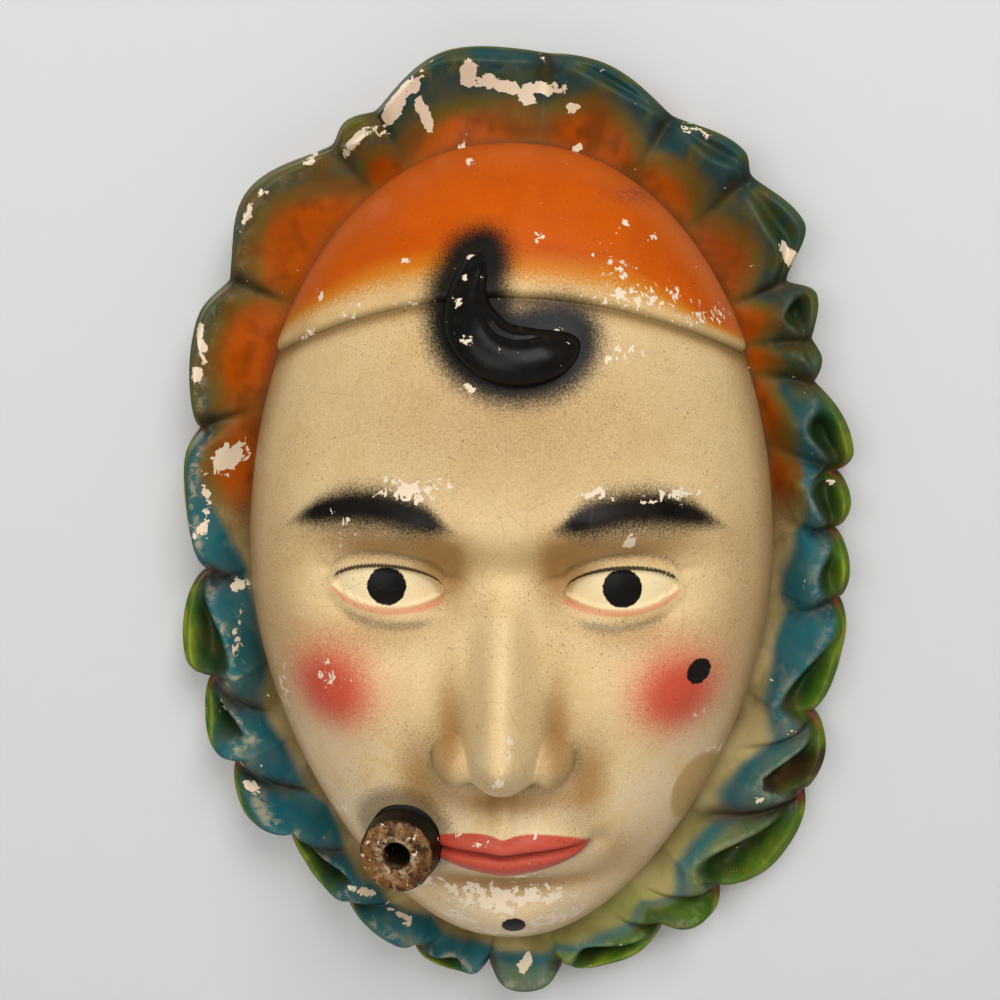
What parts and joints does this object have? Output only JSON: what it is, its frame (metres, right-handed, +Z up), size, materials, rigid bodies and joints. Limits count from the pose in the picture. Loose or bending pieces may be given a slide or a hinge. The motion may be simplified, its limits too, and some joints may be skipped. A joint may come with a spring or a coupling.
{
  "type": "painted plaster wall mask",
  "caption": "Hollow plaster wall mask of a calm clown face in a frilled ruff, with a cap, a forelock, a bored cigar stub and a swinging ring to hang it by.",
  "frame": {"origin": "on the wall's plane, at the nail that carries the ring when it is swung up", "axes": "+X to the viewer's right, +Z up, +Y into the wall; the face looks along -Y"},
  "size_m": [0.1715, 0.0794, 0.2427],
  "materials": {
    "cream_paint": "painted plaster under clear lacquer, semi-gloss",
    "orange_paint": "sprayed paint under clear lacquer, semi-gloss",
    "black_paint": "painted plaster under clear lacquer, gloss",
    "teal_paint": "sprayed teal, green and orange paint, semi-gloss",
    "brown_paint": "mottled paint, semi-gloss",
    "bare_plaster": "bare cast plaster, matte",
    "strap_brass": "dull",
    "ring_steel": "dull wire"
  },
  "bodies": {
    "mask": {"face_shell": "cream_paint", "skull_cap": "orange_paint", "forelock": "black_paint", "ruff": "teal_paint", "cigar_stub": "brown_paint", "hanger_dab": "bare_plaster", "hanger_strap": "strap_brass"},
    "ring": {"hanger_ring": "ring_steel"}
  },
  "joints": [
    {"name": "ring_swing", "type": "hinge", "parent": "mask", "child": "ring", "pos_m": [0, -0.007, -0.0151], "axis": [1, 0, 0], "range_deg": [0, 180]}
  ]
}
